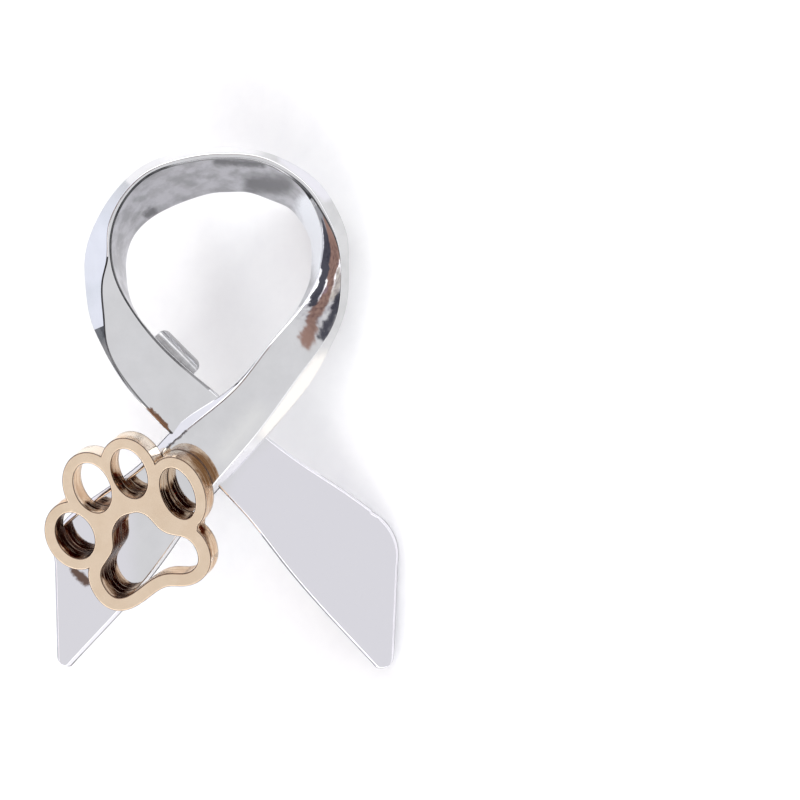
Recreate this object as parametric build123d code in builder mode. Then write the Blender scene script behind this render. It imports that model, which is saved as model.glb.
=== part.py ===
from build123d import *
from collections import namedtuple
from math import cos, hypot, radians, sin
import os

# Awareness ribbon pin: a crossed silver ribbon with a pierced gold paw, a post and a scroll nut.
# It is drawn face up in the pin's own frame and then laid down on its back.
# In that frame x is to the right, y up the ribbon and z out of its face, in millimetres.

# Driving dimensions
ribbon_height = 30.0            # tail tips to the top of the loop
steps_in_height = 522           # the tables below count in steps of the ribbon's height
step = ribbon_height / steps_in_height

tail_slope = 0.23               # fall of the front tail for each millimetre along it
paw_thickness = 2.5
toe_bar = 0.65                  # width of the metal around the toes' holes
pad_bar = 0.76                  # width of the metal around the pad's hole
paw_gap = 0.03                  # solder line between paw and tail

post_diameter = 1.0
post_length = 8.0               # from the back of the limb to the tip
post_root = 0.5                 # how far it is sunk into the limb
post_tip_diameter = 0.5
post_tip_length = 0.6
post_groove_diameter = 0.8
post_groove_width = 0.6
post_groove_back = 1.8          # from the tip to the middle of the groove

nut_width = 3.7                 # across the limb, over both scrolls
nut_length = 3.1                # along the limb
nut_metal = 0.32
nut_corner = 0.45               # radius of its corners, seen from the front
nut_clearance = 0.04            # between the nut and the post
nut_behind = 1.1                # space between the limb and the nut
nut_turn = -45                  # direction of the limb behind which it sits
scroll_sweep = 275              # degrees that each scroll is rolled up

lie_roll = 32.21                # degrees that the face leans to the right as it lies
lie_pitch = -2.29

# Sections of the two strips, counted in steps.
# x, y: near edge of the strip; turn: degrees to its outer side; rise: height of the front land.
# land, rim: outward to the crease and the outer edge; fall: height of the outer edge.
# lip, sink: inward to the inner crease and its height; edge, drop: width and height of the wall past it.
# heel, back: outward to the outer back corner, and the height of the back.
Section = namedtuple("Section", "x y turn rise land rim fall lip sink edge drop heel back")

back_strip = [
    Section(245, -186, 226, -16, 116, 118, -18, 1, -18, 1, 1, 118, -32),
    Section(127, -89, 226, -16, 93, 95, -18, 1, -18, 1, 1, 95, -32),
    Section(77, -56, 227, -16, 74, 76, -18, 1, -18, 1, 1, 76, -32),
    Section(44, -31, 226, -16, 67, 69, -18, 1, -18, 1, 1, 69, -32),
    Section(-9, 14, 220, -16, 58, 60, -18, 1, -18, 1, 1, 60, -32),
    Section(-62, 61, 208, -16, 49, 52, -20, 1, -18, 1, 2, 50, -34),
    Section(-79, 81, 204, -16, 41, 47, -27, 1, -18, 1, 4, 39, -40),
    Section(-93, 101, 202, -16, 28, 42.5, -34, 1, -18, 2, 15, 26, -50),
    Section(-108, 132, 191, -16, 12, 31.5, -41, 1, -19, 10, 40, 8, -66),
    Section(-111, 145, 180, -16, 5, 28.5, -41, 1, -19, 12.5, 46, 2, -71),
    Section(-111, 175, 162, -13, 4, 20, -34, 1, -15, 19.5, 51, -5, -71),
    Section(-99, 206, 143, -10, 4, 14, -25, 1, -12, 29, 54, -13, -71),
    Section(-70, 234, 121, -5, 4, 12, -17, 1, -7, 36.5, 59, -20, -71),
    Section(-35, 245, 104, -3, 5, 12, -13, 1, -5, 34, 61, -19, -71),
    Section(0, 249, 90, -1, 5, 12, -11, 1, -3, 32, 63, -18, -71),
]

front_strip = [
    Section(0, 249, 90, -1, 5, 12, -11, 1, -3, 32, 63, -18, -71),
    Section(36, 246, 72, 0, 5, 11, -9, 1, -2, 31, 63, -17, -71),
    Section(64, 234, 59, 1, 4, 12, -7, 1.5, 0, 29, 64, -15, -71),
    Section(86, 215, 41, 2, 4, 15, -6, 2.5, 0, 22, 60, -9, -70),
    Section(101, 193, 25, 2, 3, 15, -6, 6, -3, 17, 53, -7, -67),
    Section(113.5, 168.2, 7, 2, 1.5, 12.5, -6, 13.5, -7.5, 12, 42.5, -7.5, -61),
    Section(118.5, 145, 0, 2, 0.5, 8.5, -6, 20, -11.5, 9.5, 31.5, -7.5, -54),
    Section(118.5, 118.6, -10, 2, 0.5, 8.5, -6, 26.5, -9.5, 6, 20.5, -4.5, -44),
    Section(114.4, 91.2, -18, 1, 0.5, 7.5, -7, 35.5, -6, 3.5, 9, 1.5, -32),
    Section(99.1, 61.7, -31, 0, 0.5, 9.5, -8, 40, -3, 1.5, 3, 6.5, -22),
    Section(80.2, 38.1, -37, 0, 1.5, 14.5, -9, 40.5, 0, 1.5, 3, 14.5, -17),
    Section(56, 7, -40, 0, 3, 15, -9, 40, 0, 2.5, 3, 15, -17),
    Section(30, -28, -45, 0, 3, 12, -9, 45.5, 0, 6, 6, 12, -17),
    Section(6, -56, -45, -6, 3, 11, -15, 52, -6, 10, 9, 11, -23),
    Section(-32, -105, -45, -20, 2, 7, -27, 64, -20, 6, 5.5, 7, -37),
    Section(-65, -153, -45, -33.2, 2, 6, -39, 85, -33.2, 5, 4.5, 6, -50),
    Section(-166, -268, -45, -68.3, 1, 5, -73, 109, -68.3, 4, 3.5, 5, -85),
]

# Places on the pin, in steps
paw_on_tail = (-88, -109)       # where the paw's middle meets the tail
tail_on_plane = (-32, -105, -20)    # a point of the tail's flat front
post_place = (-62.5, 38.5)
limb_back = -32

# Holes of the paw, in steps from its middle
Toe = namedtuple("Toe", "x y across along lean")
toes = [
    Toe(-53, -13, 18.5, 24.5, 27),
    Toe(-34, 35.5, 18, 26, 22),
    Toe(4, 50, 17, 26, 21),
    Toe(52.5, 30, 16, 27, 21),
]
pad_outline = [
    (6.5, 10), (21.5, 6), (31.5, -5), (44.5, -12), (58.5, -15), (68.5, -25),
    (69.5, -43), (60.5, -50), (40.5, -51), (20.5, -59), (2.5, -72), (-12.5, -76),
    (-24.5, -65), (-27.5, -49), (-20.5, -37), (-14.5, -25), (-14.5, -9), (-6.5, 5),
]
pad_points = 36                 # points that carry the pad's outlines
webs = [(24, 18, 6), (63, -4, 9)]   # place and radius of metal that fills out narrow corners

# How the tails end, in steps: start and middle of the round corner, top and bottom of the side,
# middle and end of the round tip, and a point well outside
tail_ends = [
    [(150, -104.5), (171, -125), (176, -156), (172, -250), (166, -260), (148, -256), (300, -330)],
    [(-144, -101.5), (-165, -123), (-169, -156), (-167, -250), (-159, -261), (-146, -254), (-300, -330)],
]

# Planes of the pieces
tail_rise = tail_slope / 2 ** 0.5       # the tail falls as much to the left as it does downward
paw_fall = tail_rise * (paw_on_tail[0] + paw_on_tail[1] - tail_on_plane[0] - tail_on_plane[1])
paw_seat = Plane(
    origin=(paw_on_tail[0] * step, paw_on_tail[1] * step, (tail_on_plane[2] + paw_fall) * step),
    x_dir=(1, 0, tail_rise),
    z_dir=(-tail_rise, -tail_rise, 1),
)
paw_front = paw_seat.offset(paw_gap + paw_thickness)
post_top = (post_place[0] * step, post_place[1] * step, limb_back * step + post_root)
nut_front = limb_back * step - nut_behind
nut_side = Plane(
    origin=(post_top[0], post_top[1], nut_front - nut_metal / 2),
    x_dir=(cos(radians(nut_turn + 90)), sin(radians(nut_turn + 90)), 0),
    z_dir=(cos(radians(nut_turn)), sin(radians(nut_turn)), 0),
)


def corners(row):
    """Place the seven corners of one section of a strip."""
    across = Vector(cos(radians(row.turn)), sin(radians(row.turn)), 0)
    wall_end = row.lip + row.edge
    profile = [
        (row.heel, row.back),
        (row.rim, row.fall),
        (row.land, row.rise),
        (0, row.rise),
        (-row.lip, row.sink),
        (-wall_end, row.sink - row.drop),
        (-wall_end, row.back),
    ]
    near_edge = Vector(row.x, row.y, 0)
    return [(near_edge + across * out + Vector(0, 0, up)) * step for out, up in profile]


def strip(rows, start, end):
    """Stretch smooth walls along the corner lines of a strip's sections."""
    sections = [corners(row) for row in rows]
    places = [0.0]
    for before, after in zip(rows, rows[1:]):
        places.append(places[-1] + hypot(after.x - before.x, after.y - before.y))
    lines = []
    for points in zip(*sections):
        first = (points[1] - points[0]) / (places[1] - places[0])
        last = (points[-1] - points[-2]) / (places[-1] - places[-2])
        tangents = [start * first.length if start else first, end * last.length if end else last]
        lines.append(Edge.make_spline(list(points), tangents=tangents, parameters=places, scale=False))
    walls = [Face.make_surface_from_curves(*pair) for pair in zip(lines, lines[1:] + lines[:1])]
    ends = [Face(Wire.make_polygon(sections[index], close=True)) for index in (0, -1)]
    return Solid(Shell(walls + ends))


def pad_face(outward):
    """Draw the pad's hole, or its outline that far outside it."""
    hole = Edge.make_spline([Vector(x * step, y * step) for x, y in pad_outline], periodic=True)
    moved = []
    for index in range(pad_points):
        along = hole.tangent_at(index / pad_points)
        moved.append(hole.position_at(index / pad_points) + Vector(-along.Y, along.X) * outward)
    with BuildSketch() as pad:
        with BuildLine():
            Spline(moved, periodic=True)
        make_face()
    return pad.sketch


def tail_cut(outline_start, corner, side_top, side_bottom, tip, tip_end, outside):
    """Draw what is cut away past a tail's end: a rounded corner, a straight side and a round tip."""
    with BuildSketch() as waste:
        with BuildLine():
            ThreePointArc(outline_start, corner, side_top)
            Line(side_top, side_bottom)
            ThreePointArc(side_bottom, tip, tip_end)
            below = (tip_end[0], outside[1])
            beside = (outside[0], outline_start[1])
            Polyline(tip_end, below, outside, beside, outline_start)
        make_face()
    return waste.sketch


top_tangent = Vector(1, 0, 0)
deep = ribbon_height            # deep enough to cut or reach through every strip

# The ribbon: both strips in one casting, with their tails cut to shape
with BuildPart() as ribbon:
    add(strip(back_strip, None, top_tangent))
    add(strip(front_strip, top_tangent, None))
    for tail_end in tail_ends:
        with BuildSketch():
            add(tail_cut(*[(x * step, y * step) for x, y in tail_end]))
        extrude(amount=deep, both=True, mode=Mode.SUBTRACT)
    # The post, soldered to the back of the left limb
    post_radius = post_diameter / 2
    post_end = -(post_root + post_length)
    groove_middle = post_end + post_groove_back
    with BuildSketch(Plane(origin=post_top, x_dir=(1, 0, 0), z_dir=(0, -1, 0))):
        with BuildLine():
            Polyline(
                (0, 0),
                (post_radius, 0),
                (post_radius, groove_middle + post_groove_width / 2),
                (post_groove_diameter / 2, groove_middle),
                (post_radius, groove_middle - post_groove_width / 2),
                (post_radius, post_end + post_tip_length),
                (post_tip_diameter / 2, post_end),
                (0, post_end),
                close=True,
            )
        make_face()
    revolve(axis=Axis(post_top, (0, 0, 1)))

# The paw: an outline of even metal, pierced by four toes and the pad
with BuildPart() as paw_charm:
    with BuildSketch(paw_front):
        for toe in toes:
            with Locations((toe.x * step, toe.y * step)):
                Ellipse(toe.across * step + toe_bar, toe.along * step + toe_bar, rotation=toe.lean)
        add(pad_face(pad_bar))
        for x, y, radius in webs:
            with Locations((x * step, y * step)):
                Circle(radius * step)
    extrude(amount=-paw_thickness)
    with BuildSketch(paw_front):
        for toe in toes:
            with Locations((toe.x * step, toe.y * step)):
                Ellipse(toe.across * step, toe.along * step, rotation=toe.lean)
        add(pad_face(0))
    extrude(amount=-paw_thickness, mode=Mode.SUBTRACT)

# The nut: one strip of metal with both ends rolled in to the post
with BuildPart() as post_nut:
    with BuildSketch(nut_side):
        with BuildLine():
            scroll_radius = (nut_width - post_diameter) / 4 - nut_clearance - nut_metal / 2
            flat_end = nut_width / 2 - nut_metal / 2 - scroll_radius
            flat = Line((-flat_end, 0), (flat_end, 0))
            JernArc(flat @ 1, (1, 0), scroll_radius, -scroll_sweep)
            JernArc(flat @ 0, (-1, 0), scroll_radius, scroll_sweep)
        trace(line_width=nut_metal)
    extrude(amount=nut_length / 2, both=True)
    with BuildSketch(Plane(origin=(post_top[0], post_top[1], nut_front), x_dir=nut_side.x_dir)):
        RectangleRounded(nut_width, nut_length, nut_corner)
    extrude(amount=deep, both=True, mode=Mode.INTERSECT)
    with BuildSketch(Plane(origin=(post_top[0], post_top[1], nut_front))):
        Circle(post_diameter / 2 + nut_clearance)
    extrude(amount=-2 * nut_metal, mode=Mode.SUBTRACT)

# Lying as it would by itself: on the post's tip, the right tail and the back of the loop
lying = Rot(lie_pitch, 0, 0) * Rot(0, lie_roll, 0)
pieces = {"ribbon": ribbon, "paw_charm": paw_charm, "post_nut": post_nut}
room = Compound([lying * piece.part for piece in pieces.values()]).bounding_box()
laid = Pos(-room.center().X, -room.center().Y, -room.min.Z) * lying

os.makedirs("parts", exist_ok=True)
for name, piece in pieces.items():
    with BuildPart() as resting:
        add(laid * piece.part)
    resting.part.label = name
    export_step(resting.part, f"parts/{name}.step")
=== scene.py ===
import math
from collections import namedtuple

import bmesh
import bpy
import numpy as np
from mathutils import Matrix, Vector


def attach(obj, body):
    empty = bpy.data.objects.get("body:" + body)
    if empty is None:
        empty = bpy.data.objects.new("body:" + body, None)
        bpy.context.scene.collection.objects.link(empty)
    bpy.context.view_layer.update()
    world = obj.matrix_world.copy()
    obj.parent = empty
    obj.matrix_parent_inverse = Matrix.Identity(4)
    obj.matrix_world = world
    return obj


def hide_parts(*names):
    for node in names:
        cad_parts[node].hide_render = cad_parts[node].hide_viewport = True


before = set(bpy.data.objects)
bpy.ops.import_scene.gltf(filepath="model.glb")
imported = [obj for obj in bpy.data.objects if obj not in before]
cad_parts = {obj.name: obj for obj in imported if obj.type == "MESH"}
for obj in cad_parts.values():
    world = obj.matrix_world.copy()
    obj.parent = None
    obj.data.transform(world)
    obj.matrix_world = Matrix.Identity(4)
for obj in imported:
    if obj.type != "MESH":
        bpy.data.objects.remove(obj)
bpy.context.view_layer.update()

MM = 0.001

# The pin's own frame has x to the right, y up the ribbon and z out of its face. The pin lies on its back,
# so that frame is turned and moved to where the CAD pieces lie.
LIE_ROLL = 32.21
LIE_PITCH = -2.29
REST_AT = Vector((1.27204, 0.168123, 6.62961)) * MM
TURN = Matrix.Rotation(math.radians(LIE_PITCH), 4, "X") @ Matrix.Rotation(math.radians(LIE_ROLL), 4, "Y")
REST = Matrix.Translation(REST_AT) @ TURN
AXES = [TURN.to_3x3() @ Vector(axis) for axis in ((1, 0, 0), (0, 1, 0), (0, 0, 1))]

# Sections of the strips, counted in steps of the ribbon's height, as in the CAD source.
# x, y: near edge of the strip; turn: degrees to its outer side; rise: height of the front land.
# land, rim: outward to the crease and the outer edge; fall: height of the outer edge.
# lip, sink: inward to the inner crease and its height; edge, drop: width and height of the wall past it.
# heel, back: outward to the outer back corner, and the height of the back.
STEP = 30.0 * MM / 522
Section = namedtuple("Section", "x y turn rise land rim fall lip sink edge drop heel back")
BACK_STRIP = [
    Section(245, -186, 226, -16, 116, 118, -18, 1, -18, 1, 1, 118, -32),
    Section(127, -89, 226, -16, 93, 95, -18, 1, -18, 1, 1, 95, -32),
    Section(77, -56, 227, -16, 74, 76, -18, 1, -18, 1, 1, 76, -32),
    Section(44, -31, 226, -16, 67, 69, -18, 1, -18, 1, 1, 69, -32),
    Section(-9, 14, 220, -16, 58, 60, -18, 1, -18, 1, 1, 60, -32),
    Section(-62, 61, 208, -16, 49, 52, -20, 1, -18, 1, 2, 50, -34),
    Section(-79, 81, 204, -16, 41, 47, -27, 1, -18, 1, 4, 39, -40),
    Section(-93, 101, 202, -16, 28, 42.5, -34, 1, -18, 2, 15, 26, -50),
    Section(-108, 132, 191, -16, 12, 31.5, -41, 1, -19, 10, 40, 8, -66),
    Section(-111, 145, 180, -16, 5, 28.5, -41, 1, -19, 12.5, 46, 2, -71),
    Section(-111, 175, 162, -13, 4, 20, -34, 1, -15, 19.5, 51, -5, -71),
    Section(-99, 206, 143, -10, 4, 14, -25, 1, -12, 29, 54, -13, -71),
    Section(-70, 234, 121, -5, 4, 12, -17, 1, -7, 36.5, 59, -20, -71),
    Section(-35, 245, 104, -3, 5, 12, -13, 1, -5, 34, 61, -19, -71),
    Section(0, 249, 90, -1, 5, 12, -11, 1, -3, 32, 63, -18, -71),
]
FRONT_STRIP = [
    Section(0, 249, 90, -1, 5, 12, -11, 1, -3, 32, 63, -18, -71),
    Section(36, 246, 72, 0, 5, 11, -9, 1, -2, 31, 63, -17, -71),
    Section(64, 234, 59, 1, 4, 12, -7, 1.5, 0, 29, 64, -15, -71),
    Section(86, 215, 41, 2, 4, 15, -6, 2.5, 0, 22, 60, -9, -70),
    Section(101, 193, 25, 2, 3, 15, -6, 6, -3, 17, 53, -7, -67),
    Section(113.5, 168.2, 7, 2, 1.5, 12.5, -6, 13.5, -7.5, 12, 42.5, -7.5, -61),
    Section(118.5, 145, 0, 2, 0.5, 8.5, -6, 20, -11.5, 9.5, 31.5, -7.5, -54),
    Section(118.5, 118.6, -10, 2, 0.5, 8.5, -6, 26.5, -9.5, 6, 20.5, -4.5, -44),
    Section(114.4, 91.2, -18, 1, 0.5, 7.5, -7, 35.5, -6, 3.5, 9, 1.5, -32),
    Section(99.1, 61.7, -31, 0, 0.5, 9.5, -8, 40, -3, 1.5, 3, 6.5, -22),
    Section(80.2, 38.1, -37, 0, 1.5, 14.5, -9, 40.5, 0, 1.5, 3, 14.5, -17),
    Section(56, 7, -40, 0, 3, 15, -9, 40, 0, 2.5, 3, 15, -17),
    Section(30, -28, -45, 0, 3, 12, -9, 45.5, 0, 6, 6, 12, -17),
    Section(6, -56, -45, -6, 3, 11, -15, 52, -6, 10, 9, 11, -23),
    Section(-32, -105, -45, -20, 2, 7, -27, 64, -20, 6, 5.5, 7, -37),
    Section(-65, -153, -45, -33.2, 2, 6, -39, 85, -33.2, 5, 4.5, 6, -50),
    Section(-166, -268, -45, -68.3, 1, 5, -73, 109, -68.3, 4, 3.5, 5, -85),
]

# How the tails end, in steps: the round corner's start, middle and end, then the round tip's
RIGHT_TAIL = [(150, -104.5), (171, -125), (176, -156), (172, -250), (166, -260), (148, -256)]
LEFT_TAIL = [(-144, -101.5), (-165, -123), (-169, -156), (-167, -250), (-159, -261), (-146, -254)]
RIGHT_TURN, LEFT_TURN = 226, -45        # degrees to the tails' outer sides
RIGHT_START, LEFT_START = 60, -90       # the near edge's x, and its y, from where the tails are cut
SPACING = 1.3                   # steps between the sections of the mesh
TIP_REACH = 3                   # steps from a tail's tip in which the sections are closer
TIP_PARTS = 8                   # and into how many parts each space is divided there

# The corners of a section, in their order round it
RIM, LAND, NEAR_EDGE, LIP, FOOT = range(1, 6)

# For each corner: how far the rounding cuts it back, in steps, and how many faces go round it and to the next
Corner = namedtuple("Corner", "cut arcs spans")
CORNERS = [
    Corner(2.0, 3, 3),
    Corner(1.6, 3, 3),
    Corner(1.2, 3, 2),
    Corner(1.0, 3, 9),
    Corner(1.4, 3, 3),
    Corner(1.2, 3, 4),
    Corner(1.8, 3, 7),
]

TAIL_RISE = 0.23 / 2 ** 0.5     # slope of the left tail, and of the paw, along x and along y
PAW_THICKNESS = 2.5 * MM
CUT_SHARE = 0.42                # most of a side that one rounding may take
HOLD = 0.35                     # steps from a rounding to the line that keeps the next side flat
HOLD_SHARE = 0.12               # and most of the side that they may be
CROWN = 0.05                    # height of the swelling for each step of the side's breadth
CROWN_SLOPE = 0.12              # slope of the side at which the swelling starts
CROWN_BREADTH = 4               # breadth of the side at which it starts, and over which it grows

# Steps that each corner of a tail keeps from its cut side and from its far side, and how they end
FROM_LOW = np.array([8.0, 4.4, 3.4, 2.8, 1.8, 0, 0])
FROM_HIGH = np.array([0, 0, 1.2, 2.4, 3.4, 4.6, 4.6])
FULL_WIDTH = 9                  # steps of width under which they shrink with it
LEAST_WIDTH = 0.5               # steps of width at which the tail ends
OVERHANG = 2                    # steps past a section's ends in which the outline still counts
CUT_FALL = 0.9                  # fall of the cut side for each step outward

# Material slots of the ribbon, and where they start and end, in steps across and up the pin; INSIDE, CREASE
# and OUTSIDE are darker copies of the silver that paint shade and dark reflection lines
SILVER, INSIDE, CREASE, OUTSIDE = range(4)
OUTSIDE_BACK = (-60, 200)       # the outer slope: the back strip past this place
OUTSIDE_FRONT = -40             # and the front strip above this height
INSIDE_ABOVE = 45               # the wall in the loop: above this height
INSIDE_DROP = 8                 # and where it is higher than this
CREASE_BACK = 17                # the near crease: above this height on the back strip
CREASE_FRONT = 70               # and above this one on the front strip
CREASE_LIP = 3                  # it takes in a lip that is narrower than this
LEFT_OF = -55                   # the marks on the left limb's outer side: further left than this
LEFT_LAND = (60, 150)           # heights of the near edge with a dark edge to the land
LEFT_SLOPE = (57, 76)           # heights of the rim with a dark slope
LOW_SLOPE = (-32, 57)           # and with a dark slope and edge
LOW_END = -4                    # as far as this near edge
TAILS_BELOW = -70               # the tails' outer edges: below this height

# The post and its solder: radius and height from the back of the limb, in millimetres
POST_PLACE = (-62.5, 38.5)
LIMB_BACK = -32
POST = [
    (0.45, 0.4), (0.95, 0.05), (0.93, -0.03), (0.78, -0.08), (0.62, -0.18), (0.53, -0.32), (0.5, -0.5),
    (0.5, -3.0), (0.5, -5.84), (0.49, -5.9), (0.41, -6.17), (0.4, -6.2), (0.41, -6.23), (0.49, -6.5),
    (0.5, -6.56), (0.5, -7.3), (0.49, -7.4), (0.44, -7.55), (0.27, -7.93), (0.24, -7.98), (0.2, -8.0),
    (0.02, -8.0),
]

SHARP = math.radians(35)        # edges of the CAD pieces that turn more than this are eased
PAW_EASE, NUT_EASE = 0.13 * MM, 0.12 * MM
# the paw's walls and eased edges carry painted shade and a painted dark outline
GOLD, WALLS, EDGES = range(3)   # material slots of the paw
WALL_FACING = 0.1               # how far the paw's faces turn to its front: walls up to this
EDGE_FACING = 0.9               # and eased edges up to this


# ---- mesh helpers

def clamped_spline(knots, points, first, last, at):
    """Read, at the places given, the cubic spline through points at knots with set slopes at its ends."""
    count = len(knots)
    gaps = np.diff(knots)
    slopes = np.diff(points, axis=0) / gaps[:, None]
    system = np.zeros((count, count))
    known = np.zeros((count, points.shape[1]))
    system[0, :2] = 2 * gaps[0], gaps[0]
    known[0] = 6 * (slopes[0] - first)
    system[-1, -2:] = gaps[-1], 2 * gaps[-1]
    known[-1] = 6 * (last - slopes[-1])
    for i in range(1, count - 1):
        system[i, i - 1:i + 2] = gaps[i - 1], 2 * (gaps[i - 1] + gaps[i]), gaps[i]
        known[i] = 6 * (slopes[i] - slopes[i - 1])
    bends = np.linalg.solve(system, known)
    span = np.clip(np.searchsorted(knots, at, side="right") - 1, 0, count - 2)
    past = (at - knots[span])[:, None]
    gap = gaps[span][:, None]
    start, end = bends[span], bends[span + 1]
    return (
        points[span]
        + past * (slopes[span] - gap * (2 * start + end) / 6)
        + past ** 2 * start / 2
        + past ** 3 * (end - start) / (6 * gap)
    )


def row_corners(row):
    """The seven corners of one section, in steps."""
    turn = math.radians(row.turn)
    across = np.array([math.cos(turn), math.sin(turn), 0])
    far = row.lip + row.edge
    profile = [
        (row.heel, row.back),
        (row.rim, row.fall),
        (row.land, row.rise),
        (0, row.rise),
        (-row.lip, row.sink),
        (-far, row.sink - row.drop),
        (-far, row.back),
    ]
    near = np.array([row.x, row.y, 0])
    return [near + across * out + np.array([0, 0, up]) for out, up in profile]


def strip_sections(rows, start, end):
    """Corners of a strip at close sections, from its table: sections by 7 corners by x, y, z."""
    table = np.array([row_corners(row) for row in rows], float)
    moves = np.diff(np.array([(row.x, row.y) for row in rows], float), axis=0)
    places = np.concatenate([[0], np.cumsum(np.hypot(*moves.T))])
    at = np.linspace(0, places[-1], int(places[-1] / SPACING) + 1)
    lines = []
    for k in range(table.shape[1]):
        points = table[:, k]
        first = (points[1] - points[0]) / (places[1] - places[0])
        last = (points[-1] - points[-2]) / (places[-1] - places[-2])
        if start is not None:
            first = start * np.linalg.norm(first)
        if end is not None:
            last = end * np.linalg.norm(last)
        lines.append(clamped_spline(places, points, first, last, at))
    return np.stack(lines, axis=1)


def arc(start, middle, end, count=40):
    """Points of the circular arc through three points."""
    (ax, ay), (bx, by), (cx, cy) = start, middle, end
    d = 2 * (ax * (by - cy) + bx * (cy - ay) + cx * (ay - by))
    sa, sb, sc = ax * ax + ay * ay, bx * bx + by * by, cx * cx + cy * cy
    ox = (sa * (by - cy) + sb * (cy - ay) + sc * (ay - by)) / d
    oy = (sa * (cx - bx) + sb * (ax - cx) + sc * (bx - ax)) / d
    angles = np.unwrap([math.atan2(y - oy, x - ox) for x, y in (start, middle, end)])
    radius = math.hypot(ax - ox, ay - oy)
    turn = np.linspace(angles[0], angles[2], count)
    return [(ox + radius * math.cos(t), oy + radius * math.sin(t)) for t in turn]


def crossings(origin, across, outline):
    """How far along a line it meets the outline, in order."""
    found = []
    for (ax, ay), (bx, by) in zip(outline, outline[1:]):
        ex, ey = bx - ax, by - ay
        det = across[0] * -ey + ex * across[1]
        if abs(det) < 1e-9:
            continue
        dx, dy = ax - origin[0], ay - origin[1]
        out = (dx * -ey + ex * dy) / det
        share = (across[0] * dy - across[1] * dx) / det
        if -1e-6 <= share <= 1 + 1e-6:
            found.append(out)
    return sorted(found)


def closer_at_tip(sections, across, outline):
    """Put further sections between those near the tip, where the outline turns fast."""
    ahead = np.array([-across[1], across[0]])
    if (sections[-1][NEAR_EDGE, :2] - sections[0][NEAR_EDGE, :2]) @ ahead < 0:
        ahead = -ahead
    tip = (np.array(outline) @ ahead).max()
    closer = []
    for section, following in zip(sections, sections[1:]):
        parts = TIP_PARTS if following[NEAR_EDGE, :2] @ ahead > tip - TIP_REACH else 1
        closer += [section + (following - section) * k / parts for k in range(parts)]
    return closer


def cut_tail(sections, turn, ends):
    """Narrow the sections of a tail, given outward, to its outline, and leave out those past its tip."""
    turn = math.radians(turn)
    across = np.array([math.cos(turn), math.sin(turn)])
    outline = arc(*ends[:3]) + arc(*ends[3:])
    kept = []
    started = False
    for section in closer_at_tip(sections, across, outline):
        near = section[NEAR_EDGE, :2]
        out = (section[:, :2] - near) @ across
        low, high = out.min(), out.max()
        met = [m for m in crossings(near, across, outline) if low - OVERHANG < m < high + OVERHANG]
        if met:
            started = True
            low = max(low, met[0])
            if len(met) > 1:
                high = min(high, met[-1])
        elif started:
            break
        width = high - low
        if width < LEAST_WIDTH:
            break
        fit = min(1, width / FULL_WIDTH)
        moved = out
        if low > out.min():
            moved = np.maximum(moved, low + FROM_LOW * fit * (out < out.max() - 1e-6))
        if high < out.max() or low > out.min():
            moved = np.minimum(moved, high - FROM_HIGH * fit)
        section = section.copy()
        section[:, :2] = near + moved[:, None] * across
        if low > out.min() + 1e-6:
            section[FOOT, 2] = section[LIP, 2] - CUT_FALL * (moved[LIP] - moved[FOOT])
        kept.append(section)
    return kept


def distance(points, others):
    """Distances between points row by row, as a column."""
    return np.linalg.norm(points - others, axis=1)[:, None]


def rounded(sections):
    """Round the corners of each section and divide its sides: sections by points by x, y, z."""
    columns = []
    count = sections.shape[1]
    # the side that leans into the loop swells a little, the more the steeper and the broader it is
    inward = sections[:, LIP] - sections[:, NEAR_EDGE]
    breadth = np.hypot(inward[:, 0], inward[:, 1])
    steep = np.clip((-inward[:, 2] / breadth - CROWN_SLOPE) / 0.5, 0, 1)
    broad = np.clip((breadth - CROWN_BREADTH) / CROWN_BREADTH, 0, 1)
    crown = np.stack([0 * breadth, 0 * breadth, CROWN * breadth * steep * broad], axis=1)
    for i, corner in enumerate(CORNERS):
        here, before, after = sections[:, i], sections[:, i - 1], sections[:, (i + 1) % count]
        to_before, to_after = distance(before, here), distance(after, here)
        cut = np.minimum(corner.cut, CUT_SHARE * np.minimum(to_before, to_after))
        start = here + (before - here) / to_before * cut
        end = here + (after - here) / to_after * cut
        for k in range(corner.arcs + 1):
            t = k / corner.arcs
            columns.append((1 - t) ** 2 * start + 2 * t * (1 - t) * here + t ** 2 * end)
        # the next side, with a line close to each of its ends that keeps it flat up to the rounding
        following = CORNERS[(i + 1) % count]
        beyond = distance(sections[:, (i + 2) % count], after)
        next_cut = np.minimum(following.cut, CUT_SHARE * np.minimum(to_after, beyond))
        side_end = after + (here - after) / to_after * next_cut
        hold = np.minimum(HOLD / distance(side_end, end), HOLD_SHARE)
        shares = [hold] + [k / corner.spans for k in range(1, corner.spans)] + [1 - hold]
        for share in shares:
            column = end + (side_end - end) * share
            if i == NEAR_EDGE:
                column = column + crown * 4 * share * (1 - share)
            columns.append(column)
    return np.stack(columns, axis=1)


def grid_faces(rows, columns, offset=0):
    """Quads of a tube of that many rows, closed round its columns, with its two end faces."""
    faces = []
    for r in range(rows - 1):
        here, there = offset + r * columns, offset + (r + 1) * columns
        for c in range(columns):
            d = (c + 1) % columns
            faces.append((here + c, here + d, there + d, there + c))
    last = offset + (rows - 1) * columns
    faces.append(tuple(offset + c for c in reversed(range(columns))))
    faces.append(tuple(last + c for c in range(columns)))
    return faces


def lathe(profile, centre, segments=56):
    """Rings of radius and height about an upright axis."""
    turn = np.linspace(0, 2 * math.pi, segments, endpoint=False)
    rings = []
    for radius, height in profile:
        across, up = centre[0] + radius * np.cos(turn), centre[1] + radius * np.sin(turn)
        rings.append(np.stack([across, up, np.full(segments, height)], axis=1))
    return np.array(rings)


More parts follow.
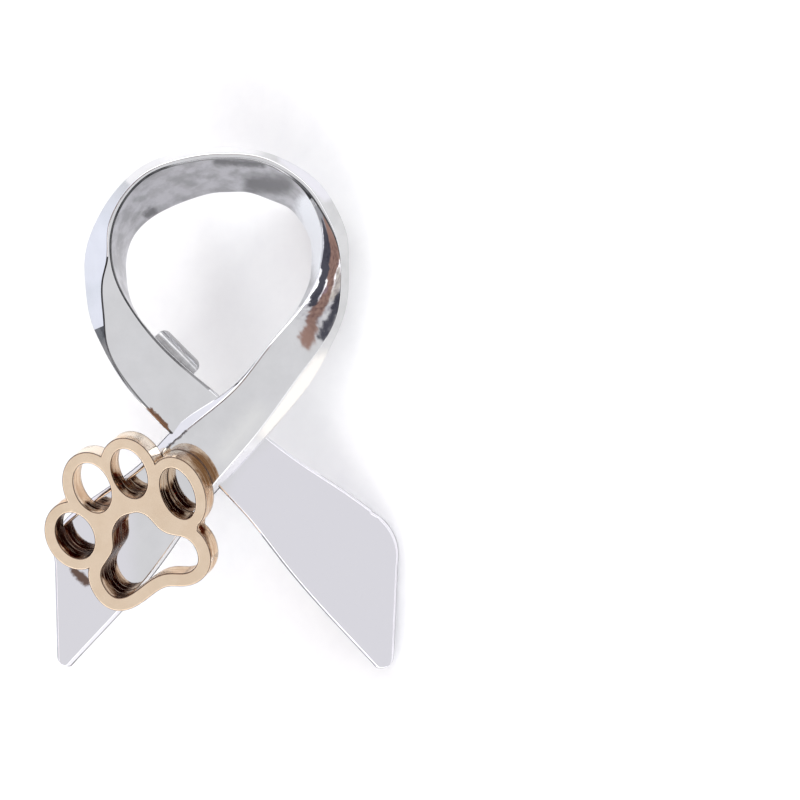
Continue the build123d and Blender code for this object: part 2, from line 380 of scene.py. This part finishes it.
def mesh_object(name, points, faces, slots):
    """A smooth mesh object from points in the pin's frame, in metres, with a material slot for each face."""
    mesh = bpy.data.meshes.new(name)
    mesh.from_pydata([tuple(REST @ Vector(p)) for p in points], [], faces)
    mesh.polygons.foreach_set("material_index", slots)
    work = bmesh.new()
    work.from_mesh(mesh)
    bmesh.ops.remove_doubles(work, verts=work.verts, dist=1e-8)
    bmesh.ops.recalc_face_normals(work, faces=work.faces)
    work.to_mesh(mesh)
    work.free()
    mesh.shade_smooth()
    obj = bpy.data.objects.new(name, mesh)
    bpy.context.scene.collection.objects.link(obj)
    return obj


# ---- the ribbon: one strip from the right tail over the loop to the left tail, and the post behind it

def face_slots(sections, faces):
    """Material slots of the strip's faces, silver where no other is named."""
    starts = np.concatenate([[0], np.cumsum([corner.arcs + corner.spans + 2 for corner in CORNERS])])

    def rounding(i):
        return range(starts[i], starts[i] + CORNERS[i].arcs)

    def side(i):
        return range(starts[i] + CORNERS[i].arcs, starts[i + 1])

    columns = starts[-1]
    slots = np.full(faces, SILVER)
    top = int(np.argmax(sections[:, NEAR_EDGE, 1]))
    for r in range(len(sections) - 1):
        near, lip, foot, rim = (sections[r, i] for i in (NEAR_EDGE, LIP, FOOT, RIM))
        row = slots[r * columns:(r + 1) * columns]
        on_back = r < top
        past_start = near[0] > OUTSIDE_BACK[0] and near[1] > OUTSIDE_BACK[1]
        # OUTSIDE, INSIDE and CREASE faces take darker copies of the silver, which paint shade and dark
        # reflection lines
        if past_start if on_back else near[1] > OUTSIDE_FRONT:
            row[[*rounding(RIM), *side(RIM)]] = OUTSIDE
        if lip[2] - foot[2] > INSIDE_DROP and near[1] > INSIDE_ABOVE:
            row[[*side(LIP), *rounding(FOOT)]] = INSIDE
        if near[1] > (CREASE_BACK if on_back else CREASE_FRONT):
            row[[*rounding(NEAR_EDGE)]] = CREASE
            if np.hypot(*(lip - near)[:2]) < CREASE_LIP:
                row[[*side(NEAR_EDGE), *rounding(LIP)]] = CREASE
        if on_back and near[0] < LEFT_OF and LEFT_LAND[0] < near[1] < LEFT_LAND[1]:
            row[[*rounding(LAND)]] = CREASE
        if on_back and near[0] < LEFT_OF and LEFT_SLOPE[0] < rim[1] < LEFT_SLOPE[1]:
            row[[*side(RIM)]] = CREASE
        if on_back and near[0] < LOW_END and LOW_SLOPE[0] < rim[1] <= LOW_SLOPE[1]:
            row[[*side(RIM), *rounding(LAND)]] = CREASE
        if near[1] < TAILS_BELOW:
            row[[*rounding(RIM), *rounding(FOOT)]] = CREASE
    return slots


def make_ribbon():
    """The ribbon's mesh, with its post."""
    top = np.array([1.0, 0, 0])
    back = strip_sections(BACK_STRIP, None, top)
    front = strip_sections(FRONT_STRIP, top, None)
    back_tail = int(np.argmin(np.abs(back[:, NEAR_EDGE, 0] - RIGHT_START)))
    right = cut_tail(list(back[:back_tail][::-1]), RIGHT_TURN, RIGHT_TAIL)[::-1]
    front_tail = int(np.argmin(np.abs(front[:, NEAR_EDGE, 1] - LEFT_START)))
    left = cut_tail(list(front[front_tail:]), LEFT_TURN, LEFT_TAIL)
    sections = np.array(right + list(back[back_tail:]) + list(front[1:front_tail]) + left)
    points = rounded(sections) * STEP
    rows, columns = points.shape[:2]
    faces = grid_faces(rows, columns)
    slots = list(face_slots(sections, len(faces)))
    flat = points.reshape(-1, 3)
    centre = (POST_PLACE[0] * STEP, POST_PLACE[1] * STEP)
    rings = lathe([(r * MM, LIMB_BACK * STEP + z * MM) for r, z in POST], centre)
    faces += grid_faces(rings.shape[0], rings.shape[1], offset=len(flat))
    slots += [SILVER] * (len(faces) - len(slots))
    return mesh_object("ribbon_metal", np.concatenate([flat, rings.reshape(-1, 3)]), faces, slots)


def eased(node, name, width, segments):
    """A copy of a CAD node with its sharp edges eased."""
    work = bmesh.new()
    work.from_mesh(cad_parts[node].data)
    bmesh.ops.remove_doubles(work, verts=work.verts, dist=1e-7)
    bmesh.ops.dissolve_limit(work, angle_limit=math.radians(0.5), verts=work.verts, edges=work.edges)
    sharp = [e for e in work.edges if len(e.link_faces) == 2 and e.calc_face_angle(0) > SHARP]
    bmesh.ops.bevel(work, geom=sharp, offset=width, offset_type="OFFSET", segments=segments, profile=0.5,
                    affect="EDGES", clamp_overlap=True)
    mesh = bpy.data.meshes.new(name)
    work.to_mesh(mesh)
    work.free()
    mesh.shade_smooth()
    obj = bpy.data.objects.new(name, mesh)
    bpy.context.scene.collection.objects.link(obj)
    flat = obj.modifiers.new("flat_faces", "WEIGHTED_NORMAL")
    flat.mode = "FACE_AREA"
    flat.weight = 100
    return obj


# ---- materials

class Nodes:
    """Short calls for building a node tree."""

    def __init__(self, tree):
        self.tree = tree
        tree.nodes.clear()

    def add(self, kind, inputs=None, **settings):
        node = self.tree.nodes.new("ShaderNode" + kind)
        for key, value in settings.items():
            setattr(node, key, value)
        for key, value in (inputs or {}).items():
            if isinstance(value, bpy.types.NodeSocket):
                self.tree.links.new(value, node.inputs[key])
            else:
                node.inputs[key].default_value = value
        return node

    def math(self, operation, *values):
        return self.add("Math", dict(enumerate(values)), operation=operation).outputs[0]

    def noise(self, place, scale, detail, roughness):
        inputs = {"Vector": place, "Scale": scale, "Detail": detail, "Roughness": roughness}
        return self.add("TexNoise", inputs)

    def remap(self, value, low, high, to_low=0.0, to_high=1.0, smooth=False):
        """Map a value from low..high to the new range, held at both ends."""
        kind = "SMOOTHSTEP" if smooth else "LINEAR"
        return self.add("MapRange", {"Value": value, "From Min": low, "From Max": high,
                                     "To Min": to_low, "To Max": to_high}, interpolation_type=kind).outputs[0]

    def mix(self, factor, a, b, blend="MIX"):
        node = self.add("Mix", {"Factor": factor}, data_type="RGBA", blend_type=blend)
        for socket, value in ((node.inputs[6], a), (node.inputs[7], b)):
            if isinstance(value, bpy.types.NodeSocket):
                self.tree.links.new(value, socket)
            else:
                socket.default_value = (*value, 1)
        return node.outputs[2]

    def place_on_pin(self, ragged):
        """Where the surface lies across and up the pin, in steps, with a ragged shift."""
        place = self.add("TexCoord").outputs["Object"]
        past = self.add("VectorMath", {0: place, 1: tuple(REST.translation)}, operation="SUBTRACT").outputs[0]
        across, up = [
            self.add("VectorMath", {0: past, 1: tuple(axis / STEP)}, operation="DOT_PRODUCT").outputs["Value"]
            for axis in AXES[:2]
        ]
        shift = self.add("SeparateColor", {0: self.noise(place, 2600.0, 4.0, 0.65).outputs["Color"]}).outputs
        across = self.math("ADD", across, self.remap(shift[0], 0.25, 0.75, -ragged, ragged))
        up = self.math("ADD", up, self.remap(shift[1], 0.25, 0.75, -ragged, ragged))
        return self.add("CombineXYZ", {0: across, 1: up}).outputs[0]

    def painted(self, color, place, strokes):
        """Lay strokes over a colour: each one's colour, start, end, half width and softness."""
        for tint, start, end, half_width, soft in strokes:
            color = self.mix(self.stroke(place, start, end, half_width, soft), color, tint)
        return color

    def stroke(self, place, start, end, half_width, soft):
        """1 near the line between two points, 0 further off."""
        reach = Vector((*end, 0)) - Vector((*start, 0))
        past = self.add("VectorMath", {0: place, 1: (*start, 0)}, operation="SUBTRACT").outputs[0]
        along = self.add("VectorMath", {0: past, 1: tuple(reach)}, operation="DOT_PRODUCT").outputs["Value"]
        share = self.remap(along, 0.0, max(reach.length_squared, 1e-9))
        nearest = self.add("VectorMath", {0: tuple(reach), "Scale": share}, operation="SCALE").outputs[0]
        away = self.add("VectorMath", {0: past, 1: nearest}, operation="DISTANCE").outputs["Value"]
        return self.remap(away, half_width + soft, half_width - soft, smooth=True)


def metal(name, base, dull, rough, scratch, wave, detail_scale, strokes=()):
    """Plated metal: faint colour change, uneven polish, fine scratches and the soft waves of a casting."""
    material = bpy.data.materials.new(name)
    material.use_nodes = True
    n = Nodes(material.node_tree)
    place = n.add("TexCoord").outputs["Object"]
    broad = n.noise(place, detail_scale * 0.35, 2.0, 0.5)
    cloud = n.noise(place, detail_scale, 5.0, 0.55)
    fine = n.noise(place, detail_scale * 14, 4.0, 0.7)
    stretched = n.add("Mapping", {"Vector": place, "Rotation": (0.3, 0.5, 0.8), "Scale": (1, 14, 3)})
    lines = n.noise(stretched.outputs[0], detail_scale * 5, 3.0, 0.5)
    color = n.mix(n.remap(cloud.outputs[0], 0.4, 0.62), base, dull)
    clouded = n.remap(broad.outputs[0], 0.35, 0.65, 0.0, 0.6)
    color = n.mix(clouded, color, (0.93, 0.93, 0.92), blend="MULTIPLY")
    # strokes laid over the colour: painted shade, shadows, highlights and reflections
    if strokes:
        color = n.painted(color, n.place_on_pin(2.0), strokes)
    worn = n.math("ADD", n.remap(fine.outputs[0], 0.3, 0.75, *rough),
                  n.remap(lines.outputs[0], 0.55, 0.72, 0.0, scratch))
    swell = n.add("Bump", {"Height": broad.outputs[0], "Strength": 1.0, "Distance": wave})
    grain = n.add("Bump", {"Height": fine.outputs[0], "Strength": 1.0, "Distance": wave * 0.01,
                           "Normal": swell.outputs[0]})
    scratches = n.add("Bump", {"Height": lines.outputs[0], "Strength": 1.0, "Distance": wave * 0.03,
                               "Normal": grain.outputs[0]})
    shader = n.add("BsdfPrincipled", {"Base Color": color, "Metallic": 1.0, "Roughness": worn,
                                      "Normal": scratches.outputs[0]})
    n.add("OutputMaterial", {"Surface": shader.outputs[0]})
    return material


def wall_metal(name, bright, brown, axis, front, height, strokes):
    """Gold plate on the paw's walls: streaks that run round them, painted shade darkening their foot, and
    painted shade and highlights laid over them as strokes.
    """
    material = bpy.data.materials.new(name)
    material.use_nodes = True
    n = Nodes(material.node_tree)
    place = n.add("TexCoord").outputs["Object"]
    along = n.add("VectorMath", {0: place, 1: tuple(axis)}, operation="DOT_PRODUCT").outputs["Value"]
    depth = n.remap(along, front, front - height)
    further = n.math("MULTIPLY", along, 14.0)
    stretch = n.add("VectorMath", {0: tuple(axis), "Scale": further}, operation="SCALE")
    layered = n.add("VectorMath", {0: place, 1: stretch.outputs[0]}, operation="ADD").outputs[0]
    streaks = n.noise(layered, 420.0, 4.0, 0.6).outputs[0]
    color = n.mix(n.remap(streaks, 0.42, 0.6, smooth=True), bright, brown)
    # painted shade, painted shadows and painted highlights, laid as strokes
    color = n.painted(color, n.place_on_pin(3.0), strokes)
    color = n.mix(n.remap(streaks, 0.56, 0.62, 0.0, 0.6, smooth=True), color, bright)
    # painted shade: the walls darken towards their foot at the back of the paw
    color = n.mix(n.remap(depth, 0.9, 0.96, 0.0, 0.85, smooth=True), color, UMBER)
    worn = n.remap(streaks, 0.35, 0.65, 0.1, 0.25)
    bump = n.add("Bump", {"Height": streaks, "Strength": 1.0, "Distance": 0.00001})
    shader = n.add("BsdfPrincipled", {"Base Color": color, "Metallic": 1.0, "Roughness": worn,
                                      "Specular Tint": color, "Normal": bump.outputs[0]})
    n.add("OutputMaterial", {"Surface": shader.outputs[0]})
    return material


# Painted shade, shadows, highlights and reflections on the metal, in steps across and up the pin: colour,
# start, end, half its width, and softness
GREY = (0.22, 0.22, 0.23)
UMBER = (0.16, 0.105, 0.085)
BROWN = (0.20, 0.11, 0.07)
TAN = (0.45, 0.31, 0.22)
CREAM_GOLD = (1.0, 0.93, 0.84)
# front silver: painted reflection tones on the tails, a painted highlight and painted dark reflection lines
SILVER_PAINTED_SHADE_AND_REFLECTIONS = [
    ((0.80, 0.79, 0.835), (90, -120), (170, -260), 95.0, 12.0),
    ((0.79, 0.78, 0.82), (-150, -110), (-150, -260), 60.0, 12.0),
    ((0.85, 0.85, 0.84), (2, -48), (34, -8), 6.0, 16.0),
    (BROWN, (-71, -3), (-56, -20), 2.2, 1.0),
    # the paw's shadow on the left tail, painted
    (UMBER, (-149, -165), (-137, -176), 4.0, 2.0),
    (GREY, (-56, -41), (-36, -25), 1.0, 0.8),
]
# loop's inner wall: painted dark reflections, and a painted highlight on its right part
INSIDE_PAINTED_SHADE_AND_HIGHLIGHT = [
    (GREY, (30, 224), (62, 222), 9.0, 7.0),
    (GREY, (-5, 246), (40, 243), 3.0, 3.0),
    (GREY, (-76, 193), (-70, 197), 4.0, 3.0),
    ((0.93, 0.96, 1.0), (90, 200), (110, 130), 16.0, 6.0),
]
# outer slopes: painted highlights and light reflections
OUTSIDE_PAINTED_HIGHLIGHTS = [
    ((0.76, 0.76, 0.775), (-62, 252), (-62, 252), 22.0, 14.0),
    ((0.76, 0.76, 0.775), (24, -54), (24, -54), 24.0, 12.0),
    ((0.84, 0.84, 0.85), (-50, 258), (30, 262), 12.0, 10.0),
    ((0.70, 0.70, 0.74), (64, 250), (104, 214), 8.0, 4.0),
    ((0.86, 0.84, 0.80), (100, 40), (50, -20), 14.0, 8.0),
]
# creases and rounded edges: painted dark reflection lines, lighter grey on the tails
CREASE_PAINTED_SHADE = [
    ((0.35, 0.35, 0.365), (90, -120), (170, -260), 95.0, 6.0),
    ((0.27, 0.27, 0.28), (-150, -110), (-150, -260), 60.0, 6.0),
    ((0.10, 0.10, 0.105), (-169, -244), (-159, -263), 4.0, 2.0),
    ((0.13, 0.13, 0.135), (-159, -263), (-142, -252), 4.0, 2.0),
    ((0.16, 0.16, 0.165), (-128, 76), (-120, 60), 6.0, 1.0),
    ((0.35, 0.35, 0.36), (-40, 247), (60, 240), 12.0, 10.0),
    ((0.21, 0.21, 0.215), (-110, 45), (-60, -15), 12.0, 8.0),
    ((0.16, 0.16, 0.165), (-70, 75), (-40, 38), 8.0, 6.0),
    ((0.32, 0.32, 0.325), (-34, 30), (-4, 6), 10.0, 8.0),
    (BROWN, (-72, -3), (-55, -22), 3.0, 2.0),
]
# paw's walls: painted highlights on the upper outer walls, painted shade and shadow in the holes
PAW_PAINTED_SHADE_AND_HIGHLIGHTS = [
    (CREAM_GOLD, (-155, -51), (-137, -40), 6.0, 3.0),
    (CREAM_GOLD, (-137, -40), (-119, -42), 6.0, 3.0),
    (CREAM_GOLD, (-117, -38), (-102, -21), 6.0, 3.0),
    (CREAM_GOLD, (-102, -21), (-82, -27), 6.0, 3.0),
    (CREAM_GOLD, (-82, -27), (-68, -46), 5.0, 3.0),
    (CREAM_GOLD, (-62, -43), (-36, -43), 5.0, 3.0),
    (UMBER, (-164, -110), (-161, -131), 5.5, 3.0),
    (UMBER, (-161, -131), (-147, -147), 5.5, 3.0),
    (UMBER, (-147, -147), (-130, -144), 4.5, 3.0),
    (BROWN, (-106, -68), (-99, -79), 4.0, 3.0),
    (UMBER, (-99, -79), (-87, -85), 4.0, 3.0),
    (UMBER, (-134, -98), (-126, -100), 4.0, 2.5),
    (UMBER, (-57, -86), (-52, -98), 6.0, 3.0),
    (UMBER, (-52, -98), (-41, -105), 5.0, 3.0),
    (BROWN, (-103, -117), (-104, -143), 5.0, 3.0),
    (UMBER, (-104, -143), (-115, -166), 6.0, 3.0),
    (UMBER, (-115, -166), (-102, -186), 6.0, 3.0),
    (TAN, (-30, -45), (-13, -75), 5.0, 3.0),
    (BROWN, (-20, -120), (-13, -148), 3.0, 2.0),
]


# ---- studio

# What the polished faces mirror, as broad strokes. Each stroke's ends are given by the slope that a face
# needs to show them to the front: colour, start, end, half its width, and how soft its edge is.
HORIZON = (0.74, 0.75, 0.77)
OVERHEAD = (2.6, 2.6, 2.62)
PALE = (1.08, 1.08, 1.17)
FACE_GREY = (0.86, 0.86, 0.875)
NAVY = (0.10, 0.10, 0.125)
COPPER = (0.42, 0.265, 0.22)
PINK = (0.44, 0.30, 0.33)
CREAM = (0.80, 0.74, 0.68)
ASH = (0.43, 0.43, 0.46)
MIRRORED = [
    (FACE_GREY, (-0.04, -0.04), (0.0, 0.0), 0.31, 0.05),
    ((1.05, 1.08, 1.20), (-1.2, -0.1), (-1.2, 0.4), 0.45, 0.3),
    ((0.74, 0.80, 0.88), (-1.9, -0.1), (-1.9, 0.4), 0.35, 0.25),
    (PALE, (-0.78, 0.45), (-0.78, 0.7), 0.18, 0.1),
    (ASH, (-1.0, -0.75), (-0.66, -0.36), 0.2, 0.06),
    (COPPER, (-0.58, -0.20), (-0.62, -0.02), 0.13, 0.015),
    (COPPER, (-0.62, -0.02), (-0.58, 0.08), 0.10, 0.015),
    (COPPER, (-0.54, 0.12), (-0.30, 0.12), 0.05, 0.012),
    (PINK, (-0.40, 0.15), (-0.30, 0.155), 0.025, 0.012),
    (COPPER, (-0.30, 0.12), (-0.17, 0.12), 0.048, 0.01),
    (COPPER, (-0.17, 0.12), (-0.04, 0.08), 0.028, 0.008),
    (NAVY, (-0.79, -0.28), (-0.83, 0.12), 0.10, 0.015),
    (NAVY, (-0.80, 0.10), (-0.60, 0.25), 0.085, 0.015),
    (NAVY, (-0.60, 0.26), (-0.32, 0.25), 0.065, 0.012),
    (NAVY, (-0.32, 0.25), (-0.22, 0.20), 0.045, 0.01),
    (CREAM, (-0.46, 0.03), (-0.29, 0.045), 0.028, 0.01),
    (NAVY, (-0.28, 0.01), (-0.20, 0.015), 0.024, 0.008),
    (NAVY, (-0.20, 0.02), (-0.10, 0.048), 0.014, 0.005),
]

# Where they are mottled: start, end, half width and softness of the stroke, and the colour of the flecks
FLECKED = ((-0.75, -0.1), (-0.22, 0.14), 0.15, 0.05)
FLECK = (0.52, 0.50, 0.55)


def environment():
    """A pale studio with the dark and copper things that the photograph's metal mirrors."""
    world = bpy.data.worlds.new("studio")
    world.use_nodes = True
    n = Nodes(world.node_tree)
    toward = n.add("TexCoord").outputs["Generated"]
    across, up, out = [n.add("VectorMath", {0: toward, 1: axis}, operation="DOT_PRODUCT").outputs["Value"]
                       for axis in AXES]
    scale = n.math("DIVIDE", 1.0, n.math("MAXIMUM", n.math("ADD", out, 1.0), 0.02))
    ragged = n.noise(toward, 22.0, 6.0, 0.7)
    split = n.add("SeparateColor", {0: ragged.outputs["Color"]}).outputs
    u = n.math("ADD", n.math("MULTIPLY", across, scale), n.remap(split[0], 0.25, 0.75, -0.025, 0.025))
    v = n.math("ADD", n.math("MULTIPLY", up, scale), n.remap(split[1], 0.25, 0.75, -0.015, 0.015))
    slope = n.add("CombineXYZ", {0: u, 1: v}).outputs[0]
    height = n.add("SeparateXYZ", {0: toward}).outputs[2]
    sky = n.mix(n.remap(height, 0.12, 0.5, smooth=True), HORIZON, OVERHEAD)
    sky = n.painted(sky, slope, MIRRORED)
    flecked = n.math("MULTIPLY", n.stroke(slope, *FLECKED), n.remap(split[2], 0.42, 0.62))
    sky = n.mix(flecked, sky, FLECK, blend="MULTIPLY")
    back = n.add("Background", {"Color": sky, "Strength": 1.0})
    n.add("OutputWorld", {"Surface": back.outputs[0]})
    bpy.context.scene.world = world


def floor():
    """White paper, plain but for its faint grain."""
    mesh = bpy.data.meshes.new("floor")
    half = 2.5
    corners = [(-half, -half, 0), (half, -half, 0), (half, half, 0), (-half, half, 0)]
    mesh.from_pydata(corners, [], [(0, 1, 2, 3)])
    obj = bpy.data.objects.new("floor", mesh)
    bpy.context.scene.collection.objects.link(obj)
    material = bpy.data.materials.new("floor_paper")
    material.use_nodes = True
    n = Nodes(material.node_tree)
    grain = n.noise(n.add("TexCoord").outputs["Object"], 900.0, 3.0, 0.5)
    color = n.mix(n.remap(grain.outputs[0], 0.3, 0.7), (0.93, 0.93, 0.935), (0.965, 0.965, 0.965))
    shader = n.add("BsdfPrincipled", {"Base Color": color, "Roughness": 0.9})
    n.add("OutputMaterial", {"Surface": shader.outputs[0]})
    mesh.materials.append(material)


def camera():
    """The photograph looks straight at the pin's face, with the pin to the left of its middle."""
    aim = REST @ (Vector((10.23, 0.402, 0)) * MM)
    away = 0.6
    frame_width = 800 / 17.4 * MM       # the photograph is 800 pixels wide, at 17.4 to the millimetre
    data = bpy.data.cameras.new("camera")
    data.sensor_width = 36
    data.lens = 36 * away / frame_width
    data.clip_start, data.clip_end = 0.01, 20
    obj = bpy.data.objects.new("camera", data)
    bpy.context.scene.collection.objects.link(obj)
    obj.matrix_world = Matrix.Translation(aim + TURN.to_3x3() @ Vector((0, 0, away))) @ TURN
    bpy.context.scene.camera = obj


camera()
environment()
floor()

# the front silver, with its painted reflections, highlight, dark lines and the paw's painted shadow
silver = metal("silver_plate", (0.76, 0.76, 0.775), (0.735, 0.735, 0.75),
               (0.02, 0.06), 0.05, 0.000006, 900, SILVER_PAINTED_SHADE_AND_REFLECTIONS)
# a darker copy for the loop's inner wall: painted shade, with painted dark reflections and a painted
# highlight
silver_inside_painted_shade = metal("silver_inside_painted_shade", (0.60, 0.60, 0.63), (0.42, 0.42, 0.44),
                      (0.08, 0.2), 0.1, 0.00002, 1100, INSIDE_PAINTED_SHADE_AND_HIGHLIGHT)
# a darker copy for the outer slopes: painted shade, with painted highlights
silver_outside_painted_shade = metal("silver_outside_painted_shade", (0.62, 0.625, 0.63), (0.56, 0.565, 0.57),
                       (0.03, 0.08), 0.05, 0.000006, 900, OUTSIDE_PAINTED_HIGHLIGHTS)
# a near-black copy for creases and rounded edges: painted dark reflection lines
silver_crease_painted_shade = metal("silver_crease_painted_shade", (0.05, 0.05, 0.055), (0.10, 0.10, 0.105),
                      (0.1, 0.2), 0.1, 0.000006, 1500, CREASE_PAINTED_SHADE)
gold = metal("gold_plate", (0.86, 0.69, 0.525), (0.83, 0.655, 0.49), (0.10, 0.17), 0.06, 0.000003, 1200)
steel = metal("nut_steel", (0.52, 0.52, 0.53), (0.42, 0.42, 0.43), (0.15, 0.26), 0.12, 0.000005, 1500)

ribbon = make_ribbon()
for material in (silver, silver_inside_painted_shade, silver_crease_painted_shade, silver_outside_painted_shade):
    ribbon.data.materials.append(material)
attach(ribbon, "root")
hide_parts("ribbon")

paw = eased("paw_charm", "paw_metal", PAW_EASE, segments=4)
paw_axis = (TURN.to_3x3() @ Vector((-TAIL_RISE, -TAIL_RISE, 1))).normalized()
paw_front = max(vert.co.dot(paw_axis) for vert in paw.data.vertices)
# the paw's walls: painted shade at their foot, painted shade and highlights as strokes
gold_walls_painted_shade = wall_metal("gold_walls_painted_shade", (0.96, 0.84, 0.70), (0.62, 0.43, 0.29),
                        paw_axis, paw_front, PAW_THICKNESS, PAW_PAINTED_SHADE_AND_HIGHLIGHTS)
# a dark brown copy of the gold for the paw's eased edges: painted shade as a dark outline
gold_edge_painted_shade = metal("gold_edge_painted_shade", (0.17, 0.115, 0.085), (0.10, 0.07, 0.055), (0.1, 0.2), 0.1, 0.000003, 1500)
for material in (gold, gold_walls_painted_shade, gold_edge_painted_shade):
    paw.data.materials.append(material)
for polygon in paw.data.polygons:
    facing = abs(polygon.normal.dot(paw_axis))
    if facing < WALL_FACING:
        polygon.material_index = WALLS
    elif facing < EDGE_FACING:
        polygon.material_index = EDGES
    else:
        polygon.material_index = GOLD
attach(paw, "root")
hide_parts("paw_charm")

nut = eased("post_nut", "nut_metal", NUT_EASE, segments=3)
nut.data.materials.append(steel)
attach(nut, "root")
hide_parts("post_nut")

view = bpy.context.scene.view_settings
view.view_transform = "Standard"
view.look = "None"
